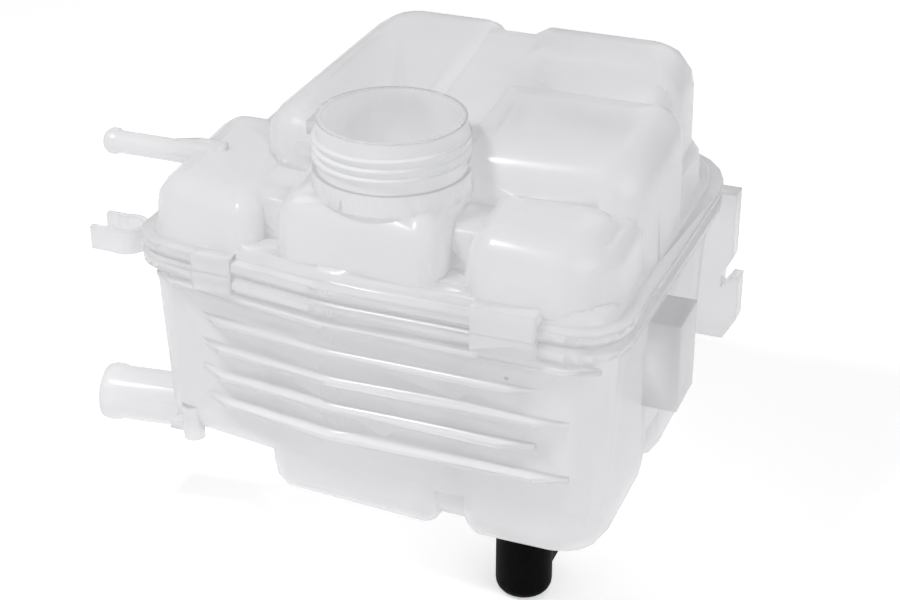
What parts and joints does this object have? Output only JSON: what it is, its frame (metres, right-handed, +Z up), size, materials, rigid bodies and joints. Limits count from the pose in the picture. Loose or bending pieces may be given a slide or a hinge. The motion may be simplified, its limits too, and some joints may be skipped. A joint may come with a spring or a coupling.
{
  "type": "coolant expansion tank",
  "caption": "Translucent coolant expansion tank, two welded half shells with a filler neck, hose spigots, brackets and a level sensor with its float.",
  "frame": {"origin": "centre of the filler neck's mouth", "axes": "+Z up along the neck, +X to the right along the ribbed front wall, +Y from the front wall to the back"},
  "size_m": [0.218, 0.1644, 0.1866],
  "materials": {
    "natural_plastic": "milky translucent moulded plastic, semi-gloss",
    "black_plastic": "matt black moulding",
    "tinned_metal": "tinned blade",
    "reed_glass": "clear glass capsule",
    "float_plastic": "closed-cell float, plain",
    "magnet_grey": "sintered ring magnet"
  },
  "bodies": {
    "tank": {"upper_shell": "natural_plastic", "lower_shell": "natural_plastic", "level_sensor": "black_plastic", "terminal_left": "tinned_metal", "terminal_right": "tinned_metal", "reed_switch": "reed_glass", "float_retainer": "natural_plastic"},
    "float": {"level_float": "float_plastic", "float_magnet": "magnet_grey"}
  },
  "joints": [
    {"name": "float_rise", "type": "slide", "parent": "tank", "child": "float", "axis": [0, 0, 1], "range_m": [0, 0.018]}
  ]
}
